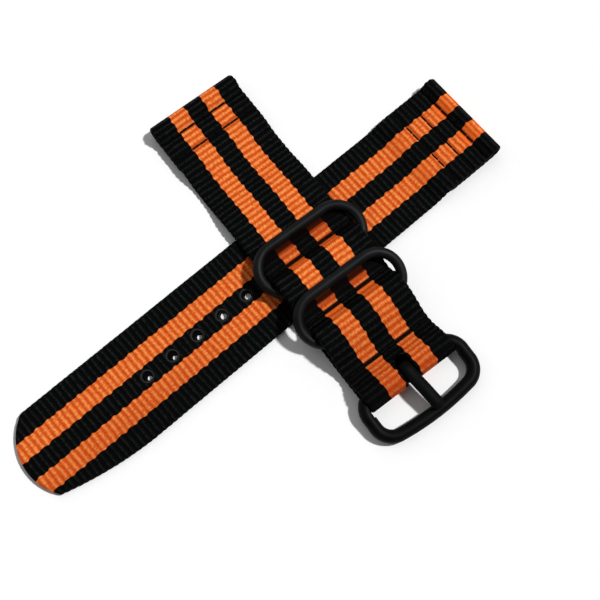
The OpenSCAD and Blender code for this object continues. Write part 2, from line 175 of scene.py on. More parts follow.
cross = math.radians(CROSS_DEG)
edge_reach = HALF_W / math.cos(cross) + HALF_W * math.tan(cross) + EDGE_ROOM
over_start, over_end = CROSS_AT - edge_reach, CROSS_AT + edge_reach
edge_offset = SPAN / 2 - math.sqrt((SPAN / 2) ** 2 - (DRAWN_W - KEEPER_STRAIGHT) ** 2)
fold_top = 2 * FOLD_R - WEB_T


# Heights of the layers
def back_z(s):
    """Underside of the layer that returns from the buckle to the keepers."""
    return LAY * (1 - climb(s, over_end, BUCKLE_ROW - ROW_FLAT))


def pocket_z(s, keeper):
    """Rise of the top layer over a keeper's lower arm, with room for the keeper's whole turn."""
    a = math.radians(keeper.tilt + KEEPER_LIFT)
    high = 2 * WIRE_R + WIRE_CLEAR + edge_offset * math.sin(a) + REST_CLEAR
    crest = keeper.arm - edge_offset * math.cos(a)
    up = climb(s, keeper.row_before + ROW_FLAT, crest - CREST_LEAD)
    down = climb(s, crest + CREST_HOLD, keeper.row_after - ROW_FLAT)
    return high * (up - down)


def after_fold(s, fold_len):
    """Height of a top layer that comes down from the end of the fold under it."""
    return LAY * (1 - climb(s, fold_len + EDGE_ROOM, fold_len + EDGE_ROOM + FOLD_FALL))


def under_z(s):
    """Underside of the top layer of the buckle piece."""
    step = RETURN_END - EDGE_ROOM
    return (
        after_fold(s, LUG_FOLD)
        + LAY * climb(s, over_start - TAIL_RISE, over_start)
        + LAY * climb(s, step - STEP_RISE, step)
        - LAY * climb(s, over_end, BUCKLE_ROW - ROW_FLAT)
        + sum(pocket_z(s, keeper) for keeper in KEEPERS)
        + (fold_top - LAY) * climb(s, BUCKLE_ROW + ROW_FLAT, PIVOT_AT)
    )


def tail_z(s):
    """Underside of the top layer of the tail piece."""
    return after_fold(s, TAIL_FOLD)


def over(under, s):
    """Upper face of a layer whose underside is under(s)."""
    return under(s) + WEB_T * np.sqrt(1 + ((under(s + STEP) - under(s)) / STEP) ** 2)


def outside(under, s):
    """Upper face where the layer also closes the spring bar loop."""
    return over(under, s) + (2 * LOOP_R - LAY - WEB_T) * (1 - climb(s, LOOP_R, LOOP_R + LOOP_FALL))


def keeper_z(arm):
    """Height of the middle of a keeper's lower arm."""
    return float(back_z(arm)) + WEB_T + WIRE_CLEAR + WIRE_R


# The way of each ribbon through its folds
class Ribbon:
    """Outer and inner points of a piece of webbing, and the distance u along its middle."""

    def __init__(self, stretches):
        self.outer = np.vstack([outer for outer, _ in stretches])
        self.inner = np.vstack([matched(outer, inner) for outer, inner in stretches])
        self.middle = (self.outer + self.inner) / 2
        self.u = travel(self.middle)
        loop_end, far_end = int(np.argmin(self.middle[:, 0])), int(np.argmax(self.middle[:, 0]))
        self.runs = {
            "fold": slice(0, loop_end),
            "top": slice(loop_end, far_end + 1),
            "back": slice(far_end, len(self.u)),
        }

    def u_at(self, s, run):
        """Distance along the ribbon at which its fold, top or back passes s."""
        places, u = self.middle[self.runs[run], 0], self.u[self.runs[run]]
        order = np.argsort(places)
        return float(np.interp(s, places[order], u[order]))

    def faces_at(self, u):
        """Outer and inner points at u."""
        return (
            np.stack([np.interp(u, self.u, line[:, k]) for k in (0, 1)], -1)
            for line in (self.outer, self.inner)
        )

    def levelled(self):
        """Distance along the ribbon with the steep climbs over the keepers counted as level."""
        level = np.abs(np.diff(self.middle[:, 0]))
        start, end = self.u_at(UPPER_ROW, "top"), self.u_at(BUCKLE_ROW, "top")
        climbs = (self.u[1:] > start) & (self.u[1:] < end)
        return np.r_[0, np.cumsum(np.where(climbs, level, np.diff(self.u)))]


def matched(outer, inner):
    """The inner path with one point for each outer point, at the same share of its length."""
    share, d = travel(outer), travel(inner)
    share = share / share[-1]
    return np.stack([np.interp(share * d[-1], d, inner[:, k]) for k in (0, 1)], -1)


def loop_path(fold_len):
    """Outer and inner points from the cut end of the fold, under the loop and round it."""
    leaves = math.radians(LOW_LEAVES)
    below = np.linspace(fold_len, LOOP_R, 120)
    above = np.linspace(fold_len, LOOP_R + BORE_R * math.cos(leaves), 100)
    above_z = np.where(above > LOOP_R + BORE_R, WEB_T, LOOP_R + BORE_R * math.sin(leaves))
    round_bar = arc(-math.pi / 2, -3 * math.pi / 2, 60)[1:]
    outer = [np.c_[below, np.zeros_like(below)], LOOP_R + LOOP_R * round_bar]
    inner = [
        np.c_[above, above_z],
        LOOP_R + BORE_R * arc(leaves, -math.pi / 2, 20),
        LOOP_R + BORE_R * round_bar,
    ]
    return np.vstack(outer), np.vstack(inner)


def top_inner(under, end):
    """Inner points of the top layer: down the loop's bore, then along its underside."""
    bore = LOOP_R + BORE_R * arc(math.pi / 2, math.radians(TOP_LEAVES), 30)[1:]
    s = np.arange(LOOP_R + BORE_R + 2 * STEP, end, STEP)
    return np.vstack([bore, np.c_[s, under(s)], [[end, under(end)]]])


def top_path(fold_len, under, end):
    """Stretches from the cut end of the fold, round the loop and along the top layer."""
    s = np.arange(LOOP_R, end, STEP)
    near = s[s < LOOP_R + BY_LOOP]
    far = np.r_[s[s >= LOOP_R + BY_LOOP], end]
    return [
        loop_path(fold_len),
        (np.c_[near, outside(under, near)], top_inner(under, near[-1])),
        (np.c_[far, outside(under, far)], np.c_[far, under(far)]),
    ]


def buckle_fold():
    """Stretches round the frame's pivot and back under the keepers."""
    nose = arc(math.pi / 2, -math.pi / 2, 60)[1:-1]
    centre = np.array([PIVOT_AT, FOLD_R])
    back = np.r_[np.arange(PIVOT_AT, RETURN_END, -STEP), RETURN_END]
    return [
        (centre + FOLD_R * nose, centre + FOLD_BORE * nose),
        (np.c_[back, back_z(back)], np.c_[back, over(back_z, back)]),
    ]


def on_tail(s, h, q):
    """Place of a point of the tail piece in the frame."""
    x, y = TAIL_LEN - s, q
    c, n = math.cos(cross), math.sin(cross)
    return np.stack([TAIL_START[0] + x * c - y * n, TAIL_START[1] + x * n + y * c, h], -1)


def on_buckle(s, h, q):
    """Place of a point of the buckle piece in the frame."""
    return np.stack([BUCKLE_X - q, LUG_Y - s, h], -1)


# Painted shade and painted light on the webbing: places in millimetres, and the shares of the change
def painted_shade_buckle(s, q):
    """Painted shade on the buckle piece towards the buckle, where it folds and where it leaves a keeper's
    arm.
    """
    shade = 0.26 * climb(s, UPPER_ARM + 3, LOWER_ARM) + 0.16 * climb(s, LOWER_ARM, BUCKLE_ROW)
    # More painted shade on one side towards the pivot, and at the fold
    shade += 0.12 * climb(q, 0, 3) * climb(s, LOWER_ARM, PIVOT_AT)
    shade += 0.35 * climb(s, PIVOT_AT - 2, PIVOT_AT + 2)
    # Painted shade where the webbing leaves a keeper's arm, nearly black right beside the wire
    for keeper in KEEPERS:
        row = keeper.row_before
        start = keeper.arm - SPAN * math.cos(math.radians(keeper.tilt))
        under = climb(s, start - 0.8, start + 0.2) * (1 - 0.8 * climb(s, start + 1.6, row - 0.3))
        under += zone(s, start - 0.8, start, start + 1.5, start + 2.3)
        shade = np.maximum(shade, under * (1 - climb(s, row + 0.2, row + 1.6)))
    return shade


def painted_shade_tail(s, q):
    """Painted shade on the tail beside the buckle piece on it, by the upper keeper and on its lower stripe.
    """
    place = on_tail(s, 0 * s, q)
    x, behind = place[..., 0] - BUCKLE_X, LUG_Y - place[..., 1]

    def band(off, reach, fade):
        """A band from just under the buckle piece's edge to reach beside it."""
        return zone(off, -1.8, -0.4, reach - fade, reach)

    beside = band(-x - HALF_W, 0.7, 0.7) + band(x - HALF_W, 1.2, 1.2)
    # Painted shade, deep enough to be black, inside the upper keeper beside the buckle piece
    ring_start = UPPER_ARM - SPAN + 1
    by_ring = climb(behind, ring_start, ring_start + 1) * band(x - HALF_W, 1.8, 0.6)
    # Painted shade: a little all over, more on the lower stripe towards the tip
    lower_stripe = 0.12 + 0.28 * climb(-q, 0, 5) * climb(s, 60, 90)
    return np.maximum(np.maximum(1.3 * beside, 2 * by_ring), lower_stripe)


def painted_light_buckle(s):
    """Painted light where the buckle piece climbs steeply out of a row, on slopes turned from the key light.
    """
    rows = (keeper.row_before for keeper in KEEPERS)
    return sum(zone(s, row + 0.2, row + 0.6, row + 1.8, row + 3.0) for row in rows)


def painted_light_tail(s):
    """The same painted light where the tail comes down from its loop and from the end of its fold."""
    loop, fold = LOOP_R + LOOP_FALL, TAIL_FOLD + FOLD_FALL
    below_loop = zone(s, LOOP_R, LOOP_R + 0.8, loop - 0.5, loop + 0.3)
    return below_loop + 0.5 * zone(s, TAIL_FOLD + 0.5, TAIL_FOLD + 2, fold - 2, fold)


# Shape of the webbing
def columns():
    """Places across the webbing, closer over the holes, and how far a selvedge thins it there."""
    level = HALF_W - EDGE_R
    over_eyelet = EYELET_R * np.sin(np.radians(EYELET_TURNS))
    beside = np.r_[BESIDE_HOLES, np.linspace(REST_FROM, level, REST_COUNT)]
    turn = np.radians(EDGE_TURNS)
    half = np.r_[over_eyelet, beside, level + EDGE_R * np.sin(turn)]
    thin = np.r_[np.ones(len(over_eyelet) + len(beside)), np.cos(turn)]
    return np.r_[-half[:0:-1], half], np.r_[thin[:0:-1], thin]


def hole_ends(hole, q):
    """Where a hole starts and ends along the ribbon at q."""
    back = hole.half - math.sqrt(max(0, hole.half**2 - q * q))
    return hole.low + back, hole.high - back


def cut_hole(hole, rows_u, cols_q, u, keep):
    """Moves the points within a hole to its edge and drops the faces inside it."""
    for j, q in enumerate(cols_q):
        if abs(q) < hole.half - TINY:
            start, end = hole_ends(hole, q)
            col = u[:, j]
            inside = (col > start) & (col < end)
            col[inside] = np.where(col[inside] < (start + end) / 2, start, end)
    middle = (hole.low + hole.high) / 2
    crossing = (rows_u[:-1] < middle) & (rows_u[1:] > middle)
    for j in range(len(cols_q) - 1):
        if max(abs(cols_q[j]), abs(cols_q[j + 1])) < hole.half + TINY:
            starts, ends = zip(*(hole_ends(hole, q) for q in cols_q[j:j + 2]))
            gone = (rows_u[:-1] >= max(starts) - TINY) & (rows_u[1:] <= min(ends) + TINY)
            keep[gone | crossing, j] = False


def from_eyelet(hole, u, q):
    """How far each point is from an eyelet's middle: along the ribbon, and in all."""
    along = u - (hole.low + hole.high) / 2
    return along, np.maximum(np.hypot(along, q), TINY)


def tapered(q, to_tip):
    """Places across the tail, drawn together on the side whose edge tapers, and the taper's depth."""
    run = TAPER_LEN + math.sqrt(TAPER_R**2 - (TAPER_R - TAPER_DIP) ** 2)
    along = np.clip(run - to_tip, 0, TAPER_R)
    cut = np.clip(TAPER_R - TAPER_DIP - np.sqrt(TAPER_R**2 - along**2), 0, None)
    outer = np.clip(-q - TAPER_FROM, 0, None)
    return q + outer * cut / (HALF_W - TAPER_FROM), cut


def cut_tip(length, rows_u, cols_q, u, q, keep):
    """Ends the grid at the tail's round tip and tapering edge, and gives where they are melted."""
    end = np.full_like(cols_q, length)
    for _ in range(TIP_ROUNDS):
        end = length - TIP_R + np.sqrt(TIP_R**2 - tapered(cols_q, length - end)[0] ** 2)
    past = rows_u[:-1, None] >= end
    keep &= ~(past[:, :-1] & past[:, 1:])
    u = np.minimum(u, end)
    q, cut = tapered(q, length - u)
    from_edge = TIP_R - np.hypot(u - (length - TIP_R), q)
    tip = np.where(u > length - TIP_R, ramp(from_edge, *TIP_SEAL), 0)
    taper = ramp(HALF_W - cut + q, *TAPER_SEAL) * ramp(cut, 0, TAPER_START)
    return u, q, np.maximum(tip, taper)


def webbing_grid(ribbon, holes, tip):
    """The grid of a ribbon's points u and q, its melted places, and which faces it keeps."""
    length = ribbon.u[-1]
    rows_u = np.linspace(0, length, int(round(length / PITCH * PER_RIB)) + 1)
    cols_q = columns()[0]
    u = np.repeat(rows_u[:, None], len(cols_q), 1)
    q = np.repeat(cols_q[None, :], len(rows_u), 0)
    keep = np.ones((len(rows_u) - 1, len(cols_q) - 1), bool)
    for hole in holes:
        cut_hole(hole, rows_u, cols_q, u, keep)
    if tip:
        u, q, melt = cut_tip(length, rows_u, cols_q, u, q, keep)
    else:
        melt = ramp(u, length - CUT_SEAL, length)
    return u, q, np.maximum(melt, ramp(u, CUT_SEAL, 0)), keep


def uneven_ribs(along, length):
    """Height of the ribs, 0 in a valley and up to 1 on a crest, each rib by its own share."""
    count = int(length / PITCH) + 2
    share = 1 - RIB_UNEVEN * rng.random(count + 1)
    rib = np.abs(np.sin(np.pi * along / PITCH)) ** RIB_ROUND
    return rib * share[np.clip((along / PITCH).astype(int), 0, count)]


def wire_points(arm, degrees, half):
    """Middle line of one half of a keeper's bend: place along the strap, across it and height."""
    t = np.radians(BEND_STEPS)
    across = KEEPER_STRAIGHT + SPAN / 2 * np.sin(t)
    p = SPAN / 2 * (1 - np.cos(t))
    p = p if half == "lower" else SPAN - p
    a = math.radians(degrees)
    return np.c_[arm - p * math.cos(a), across, keeper_z(arm) + p * math.sin(a)]


def edge_curl(s, side, low, high):
    """How far the edges of the top layer bend up over, or down under, a keeper's bends."""
    need = np.zeros_like(s)
    for keeper in KEEPERS:
        for half, turns in CLEAR_TURNS:
            for x, y, z in np.vstack([wire_points(keeper.arm, keeper.tilt + turn, half) for turn in turns]):
                room = (WIRE_R + EDGE_AIR) ** 2 - (s - x) ** 2 - (side - y) ** 2
                near = room > 0
                tall = np.sqrt(room[near])
                if half == "lower":
                    need[near] = np.maximum(need[near], z + tall - low[near])
                else:
                    need[near] = np.minimum(need[near], z - tall - high[near])
    return soft(np.clip(need, 0, None)) - soft(np.clip(-need, 0, None))


def soft(need):
    """A smooth field that is nowhere less than need."""
    field = need.copy()
    for _ in range(SOFT_ROUNDS):
        wide = np.pad(field, 1, mode="edge")
        around = wide[:-2, 1:-1] + wide[2:, 1:-1] + wide[1:-1, :-2] + wide[1:-1, 2:]
        field = np.maximum(need, (around + 2 * field) / 6)
    return field


def ribbon_faces(keep):
    """Faces of the outer and the inner grid, and a wall between them along every open edge."""
    shape = (keep.shape[0] + 1, keep.shape[1] + 1)
    outer = np.arange(shape[0] * shape[1]).reshape(shape)
    inner = outer + outer.size
    inner[:, 0], inner[:, -1] = outer[:, 0], outer[:, -1]
    faces, edges = [], {}
    for i, j in zip(*np.nonzero(keep)):
        ring = ((i, j), (i, j + 1), (i + 1, j + 1), (i + 1, j))
        faces.append([int(outer[p]) for p in ring])
        faces.append([int(inner[p]) for p in ring[::-1]])
        edges.update(dict.fromkeys(zip(ring, ring[1:] + ring[:1])))
    for a, b in edges:
        wall = list(dict.fromkeys(int(p) for p in (outer[b], outer[a], inner[a], inner[b])))
        if (b, a) not in edges and len(wall) > 2:
            faces.append(wall)
    return faces


def mesh_object(name, verts, faces, place, attributes, material):
    """A mesh from points s, h and q, with a value at each point for every attribute."""
    mesh = bpy.data.meshes.new(name)
    mesh.from_pydata((place(*verts.T) / 1000).tolist(), [], faces)
    for key, values in attributes.items():
        layer = mesh.attributes.new(key, "FLOAT", "POINT")
        layer.data.foreach_set("value", np.asarray(values, np.float32))
    mesh.shade_smooth()
    mesh.materials.append(material)
    close_up(mesh)
    made = bpy.data.objects.new(name, mesh)
    bpy.context.scene.collection.objects.link(made)
    return made


def close_up(mesh):
    """Merges points that lie on each other, drops what is left over and turns faces outwards."""
    bm = bmesh.new()
    bm.from_mesh(mesh)
    bmesh.ops.remove_doubles(bm, verts=bm.verts, dist=1e-7)
    loose = [v for v in bm.verts if not v.link_faces]
    bmesh.ops.delete(bm, geom=loose, context="VERTS")
    bmesh.ops.recalc_face_normals(bm, faces=bm.faces)
    bm.to_mesh(mesh)
    bm.free()


def weave(name, ribbon, place, rows, holes, shade, steep, tip=False, keepers=False):
    """A ribbon of webbing with real ribs, round selvedges, sewn-in rows and cut holes.

    place turns s, h and q into a point of the frame. rows holds the place of each row along
    the ribbon and how far the webbing is painted black beside it, as shade in its groove.
    shade and steep give the painted shade and the painted light of the colour at a place.
    tip gives the far end the tail's round tip, and keepers spaces the ribs as seen from above
    and bends the edges round the keepers.
    """
    u, q, melt, keep = webbing_grid(ribbon, holes, tip)
    cols_q, thin = columns()
    eyelets = [hole for hole in holes if hole.lower_edge]
    across_wave = np.sin(cols_q * WANDER_ACROSS[0] + WANDER_ACROSS[1])
    wander = WANDER * across_wave * np.sin(u * WANDER_ALONG[0] + WANDER_ALONG[1])
    along = (np.interp(u, ribbon.u, ribbon.levelled()) if keepers else u) + wander
    rib = uneven_ribs(along, ribbon.u[-1])
    press, sewn, bead = np.zeros_like(u), np.zeros_like(u), np.zeros_like(u)
    # press and sewn also carry painted shade: darker near each row and black beside its thread
    for row, black in rows:
        off = np.abs(u - row)
        press = np.maximum(press, np.exp(-((off / ROW_SPREAD) ** 2)))
        sewn = np.maximum(sewn, ramp(off, black + ROW_BLUR, black - ROW_BLUR))
    for hole in eyelets:
        r = from_eyelet(hole, u, q)[1]
        melt = np.maximum(melt, ramp(r - RIM_R, *RIM_SEAL))
        bead += np.sin(np.pi * ramp(r, EYELET_R, RIM_R))
    sink = RIB_DEPTH * (1 - rib) + YARN_DEPTH * (1 - np.abs(np.sin(np.pi * q / (2 * YARN_W))))
    sink = sink * (1 - melt) * (1 - press) + melt * MELT_DEPTH - bead * RIM_RISE + press * ROW_DEPTH

    # Both faces sink by the relief, and the selvedges are thinned and drawn in
    outer, inner = ribbon.faces_at(u)
    away = outer - inner
    thick = np.linalg.norm(away, axis=-1, keepdims=True)
    away /= np.maximum(thick, TINY)
    outer = outer - away * np.minimum(sink[..., None], thick * MOST_SUNK)
    inner = inner + away * np.minimum(UNDER_RELIEF * sink[..., None], thick * MOST_SUNK_UNDER)
    middle = (outer + inner) / 2
    outer = middle + (outer - middle) * thin[:, None]
    inner = middle + (inner - middle) * thin[:, None]
    pull = (PULL + VALLEY_PULL * (1 - rib)) * ramp(np.abs(cols_q), PULL_FROM, HALF_W)
    q_outer = np.sign(q) * (np.abs(q) - pull)
    q_inner = q_outer.copy()
    for hole in eyelets:
        off_along, off_across, radius = hole.lower_edge
        from_middle, r = from_eyelet(hole, u, q)
        share = ramp(r, RIM_R + RIM_SLOPE, EYELET_R)
        inner[..., 0] += share * (off_along + (radius - EYELET_R) * from_middle / r)
        q_inner += share * (off_across + (radius - EYELET_R) * q / r)
    if keepers:
        top = (u > ribbon.u_at(LOOP_R, "top")) & (u < ribbon.u_at(BUCKLE_ROW, "top"))
        low = np.where(top, inner[..., 1], OUT_OF_REACH)
        high = np.where(top, outer[..., 1], -OUT_OF_REACH)
        lift = np.where(top, edge_curl(middle[..., 0], np.abs(q_outer), low, high), 0)
        outer[..., 1] += lift
        inner[..., 1] += lift

    verts = np.vstack([
        np.c_[outer.reshape(-1, 2), q_outer.ravel()],
        np.c_[inner.reshape(-1, 2), q_inner.ravel()],
    ])
    # shade and steep carry the painted shade and the painted light to the material
    fields = {
        "along": along, "across": q, "melt": melt, "bead": bead, "press": press, "sewn": sewn,
        "shade": shade(middle[..., 0], q), "steep": steep(middle[..., 0]),
    }
    attributes = {key: np.tile(field.ravel(), 2) for key, field in fields.items()}
    return mesh_object(name, verts, ribbon_faces(keep), place, attributes, woven)


# Thread
def stitch_shape(t):
    """How deep a stitch dips and how thick it is at t, from -1 to 1 along it."""
    dip = STITCH_DIP * ramp(abs(t), DIP_FROM, 1) ** 2
    thick = END_THICK + (1 - END_THICK) * math.sqrt(1 - ramp(abs(t), END_FROM, 1) ** 2)
    return dip, thick


def tube_faces(first, rings, sides):
    """Faces of a closed tube whose points start at first, ring by ring."""
    faces = []
    for i in range(rings - 1):
        for j in range(sides):
            a, b = first + i * sides + j, first + i * sides + (j + 1) % sides
            faces.append((a, b, b + sides, a + sides))
    last = first + (rings - 1) * sides
    faces.append(tuple(range(first + sides - 1, first - 1, -1)))
    faces.append(tuple(range(last, last + sides)))
    return faces


def stitch_row(name, s, r, levels, place, node, body):
    """Two-ply thread on both faces of a row: each stitch dips into the webbing at its ends."""
    verts, faces, along, around = [], [], [], []
    turn = np.linspace(0, 2 * np.pi, STITCH_SIDES, endpoint=False)
    for z, side in levels:
        for k in range(STITCHES):
            middle = (k - (STITCHES - 1) / 2) * STITCH_PITCH
            slack = STITCH_SLACK * (rng.random() - 0.5)
            faces += tube_faces(len(verts), STITCH_RINGS, STITCH_SIDES)
            for t in np.linspace(-1, 1, STITCH_RINGS):
                dip, thick = stitch_shape(t)
                for a in turn:
                    ply = 1 - PLY_DEPTH * (1 - abs(math.cos(a - t * PLY_TWIST)))
                    verts.append((
                        s + STITCH_LEAN * t + slack + r * ply * thick * math.cos(a),
                        z - side * (THREAD_SINK + dip) + r * ply * thick * math.sin(a),
                        middle + t * (STITCH_PITCH - STITCH_GAP) / 2,
                    ))
                    along.append(t * ALONG_STITCH)
                    around.append(a)
    made = mesh_object(name, np.array(verts), faces, place, {"along": along, "across": around}, thread)
    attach(made, body)
    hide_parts(node)


# Materials
class Nodes:
    """Short way to write a material's node tree."""

    def __init__(self, name):
        self.material = bpy.data.materials.new(name)
        self.material.use_nodes = True
        self.tree = self.material.node_tree
        self.shader = self.tree.nodes["Principled BSDF"]

    def add(self, kind, **values):
        node = self.tree.nodes.new(kind)
        for key, value in values.items():
            setattr(node, key, value)
        return node

    def link(self, value, socket):
        if isinstance(value, bpy.types.NodeSocket):
            self.tree.links.new(value, socket)
        else:
            socket.default_value = value

    def math(self, operation, *values):
        node = self.add("ShaderNodeMath", operation=operation)
        for value, socket in zip(values, node.inputs):
            self.link(value, socket)
        return node.outputs[0]

    def plus(self, a, b):
        return self.math("ADD", a, b)

    def minus(self, a, b):
        return self.math("SUBTRACT", a, b)

    def times(self, a, b):
        return self.math("MULTIPLY", a, b)

    def swing(self, noise, width):
        """A noise that goes as far below zero as above it."""
        return self.times(self.minus(noise, 0.5), width)

    def wave(self, turn):
        """0 to 1 and back for each half turn."""
        return self.math("ABSOLUTE", self.math("SINE", turn))

    def attribute(self, name):
        return self.add("ShaderNodeAttribute", attribute_name=name).outputs["Fac"]

    def vector(self, x, y, z):
        node = self.add("ShaderNodeCombineXYZ")
        for value, socket in zip((x, y, z), node.inputs):
            self.link(value, socket)
        return node.outputs[0]

    def noise(self, vector, scale, detail=3.0):
        node = self.add("ShaderNodeTexNoise")
        self.link(vector, node.inputs["Vector"])
        node.inputs["Scale"].default_value = scale
        node.inputs["Detail"].default_value = detail
        return node.outputs["Fac"]

    def remap(self, value, low, high, a=0.0, b=1.0):
        node = self.add("ShaderNodeMapRange", interpolation_type="SMOOTHSTEP")
        for item, socket in zip((value, low, high, a, b), node.inputs):
            self.link(item, socket)
        return node.outputs[0]

    def mix(self, factor, a, b):
        node = self.add("ShaderNodeMix", data_type="RGBA")
        self.link(factor, node.inputs["Factor"])
        for value, socket in ((a, node.inputs[6]), (b, node.inputs[7])):
            self.link(value if isinstance(value, bpy.types.NodeSocket) else (*value, 1), socket)
        return node.outputs[2]

    def position_mm(self):
        place = self.add("ShaderNodeTexCoord").outputs["Object"]
        scaled = self.add("ShaderNodeVectorMath", operation="SCALE")
        self.link(place, scaled.inputs[0])
        scaled.inputs["Scale"].default_value = 1000
        return scaled.outputs[0]

    def finish(self, colour, roughness, raised_mm, specular):
        """Gives the shader its colour, roughness, relief in millimetres and reflection."""
        bump = self.add("ShaderNodeBump")
        bump.inputs["Strength"].default_value = 1.0
        bump.inputs["Distance"].default_value = 0.001
        self.link(raised_mm, bump.inputs["Height"])
        self.link(colour, self.shader.inputs["Base Color"])
        self.link(roughness, self.shader.inputs["Roughness"])
        self.link(bump.outputs["Normal"], self.shader.inputs["Normal"])
        self.shader.inputs["Specular IOR Level"].default_value = specular
        return self.material


# Colours of the webbing: of its yarns, with painted shade in the rib valleys, painted light on steep slopes
# and painted highlights on the crests, then of the painted shade, melted ends and painted rim highlights
# that darken, lighten or cover them
ORANGE, ORANGE_LIGHT, ORANGE_CLOUD = (0.66, 0.094, 0.011), (0.84, 0.168, 0.028), (0.85, 0.19, 0.034)
ORANGE_GAP, ORANGE_VALLEY_SHADE = (0.55, 0.07, 0.008), (0.52, 0.056, 0.006)
ORANGE_PAINTED_LIGHT, ORANGE_HIGHLIGHT = (1.0, 0.15, 0.015), (0.97, 0.36, 0.10)
BLACK, BLACK_HIGHLIGHT = (0.0009, 0.0011, 0.0011), (0.0122, 0.013, 0.0128)
ORANGE_SHADED, ORANGE_ROW_SHADE = (0.32, 0.026, 0.003), (0.3, 0.025, 0.003)
BLACK_SHADED, DEEP_SHADE, ROW_SHADE_BLACK = (0.001, 0.001, 0.001), (0.003, 0.001, 0.0008), (0.002, 0.0015, 0.0015)
MELTED, RIM_HIGHLIGHT = (0.002, 0.002, 0.0022), (0.04, 0.042, 0.042)
# Colours of the thread, the metal and the floor
THREAD_DARK, THREAD_LIGHT = (0.0006, 0.0006, 0.0007), (0.0035, 0.0035, 0.0038)
WIRE_DARK, WIRE_LIGHT = (0.0018, 0.0021, 0.0026), (0.0036, 0.0046, 0.0056)
BAR_DARK, BAR_LIGHT = (0.0015, 0.0016, 0.0017), (0.0026, 0.0028, 0.0029)
FLOOR_DARK, FLOOR_LIGHT = (0.93, 0.93, 0.93), (0.95, 0.95, 0.95)


def stripes(m, across, turn, crest, grain, uneven):
    """1 on the orange stripes. They are wider on every second rib, where their last yarn goes over."""
    tooth = m.plus(m.times(m.math("SINE", turn), 0.12), m.times(m.minus(crest, 0.64), 0.1))
    ragged = m.plus(m.swing(grain, 0.2), m.swing(uneven, 0.3))
    from_mid = m.math("ABSOLUTE", m.minus(m.math("ABSOLUTE", across), (CENTRE_BAND + STRIPE_W) / 2))
    edge = m.plus(m.plus(STRIPE_W / 2, tooth), ragged)
    return m.remap(m.minus(edge, from_mid), -0.05, 0.06)


def orange(m, speckle, cloud, yarn, dip, crest_highlight):
    """Orange yarns with painted shade between ribs, painted crest highlights and painted light on slopes."""
    steep = m.attribute("steep")
    colour = m.mix(m.remap(speckle, -0.2, 0.2), ORANGE, ORANGE_LIGHT)
    colour = m.mix(m.remap(cloud, 0.35, 0.7, 0.0, 0.4), colour, ORANGE_CLOUD)
    colour = m.mix(m.times(m.minus(1.0, yarn), 0.3), colour, ORANGE_GAP)
    # Painted light on steep slopes turned from the key light
    colour = m.mix(m.times(steep, 0.85), colour, ORANGE_PAINTED_LIGHT)
    # Painted shade in the rib valleys, then painted highlights on the crests
    colour = m.mix(m.times(dip, m.minus(0.8, m.times(steep, 0.35))), colour, ORANGE_VALLEY_SHADE)
    return m.mix(m.times(crest_highlight, m.minus(0.85, m.times(steep, 0.5))), colour, ORANGE_HIGHLIGHT)


def webbing_material():
    """Nylon webbing, from the fields that weave leaves on its points."""
    m = Nodes("woven nylon")
    along, across = m.attribute("along"), m.attribute("across")
    melt, shade = m.attribute("melt"), m.attribute("shade")

    def cloth_noise(x, y, z):
        return m.noise(m.vector(m.times(across, x), m.times(along, y), z), 1.0)

    wobble, uneven = cloth_noise(1.3, 0.8, 2.0), cloth_noise(0.12, 0.9, 9.0)
    grain, fibre = cloth_noise(2.6, 1.1, 0.0), cloth_noise(16.0, 2.2, 4.0)
    flat = m.vector(across, along, 0.0)
    cloud, patchy = m.noise(flat, 0.22, 2.0), m.remap(m.noise(flat, 0.5, 2.0), 0.35, 0.65, 0.6, 1.0)
    turn = m.times(m.plus(along, m.swing(wobble, 0.45)), math.pi / PITCH)
    crest, yarn = m.wave(turn), m.wave(m.times(across, math.pi / YARN_W))
    speckle = m.plus(m.swing(grain, 0.9), m.swing(fibre, 0.6))
    lit = m.plus(crest, speckle)
    # Painted highlights on the rib crests and painted shade in the valleys between them
    crest_highlight, dip = m.remap(lit, 0.74, 1.1), m.remap(lit, 0.15, 0.6, 1.0, 0.0)

    stripe = stripes(m, across, turn, crest, grain, uneven)
    # Painted highlights on the crests of the black yarns too
    black = m.mix(m.times(crest_highlight, patchy), BLACK, BLACK_HIGHLIGHT)
    colour = m.mix(stripe, black, orange(m, speckle, cloud, yarn, dip, crest_highlight))
    # Painted shade from the shade field, turning nearly black where it is deepest
    shaded = m.mix(stripe, BLACK_SHADED, ORANGE_SHADED)
    colour = m.mix(m.times(m.math("MINIMUM", shade, 1.0), 0.8), colour, shaded)
    colour = m.mix(m.remap(shade, 1.0, 1.9, 0.0, 0.92), colour, DEEP_SHADE)
    # Painted shade in the sunk rows, black beside the thread
    row_shade = m.mix(stripe, BLACK_SHADED, ORANGE_ROW_SHADE)
    colour = m.mix(m.times(m.attribute("press"), 0.35), colour, row_shade)
    colour = m.mix(m.times(m.attribute("sewn"), 0.96), colour, ROW_SHADE_BLACK)
    colour = m.mix(m.times(melt, m.minus(1.0, m.times(stripe, 0.8))), colour, MELTED)
    # Painted highlight on the raised eyelet rims
    colour = m.mix(m.times(m.attribute("bead"), 0.6), colour, RIM_HIGHLIGHT)

    rough = m.remap(m.plus(fibre, m.times(yarn, 0.4)), 0.3, 1.1, 0.55, 0.8)
    rough = m.minus(rough, m.times(melt, 0.3))
    raised = m.plus(m.times(yarn, 0.03), m.times(fibre, 0.06))
    raised = m.times(raised, m.minus(1.0, m.times(melt, 0.8)))
    return m.finish(colour, rough, raised, 0.03)


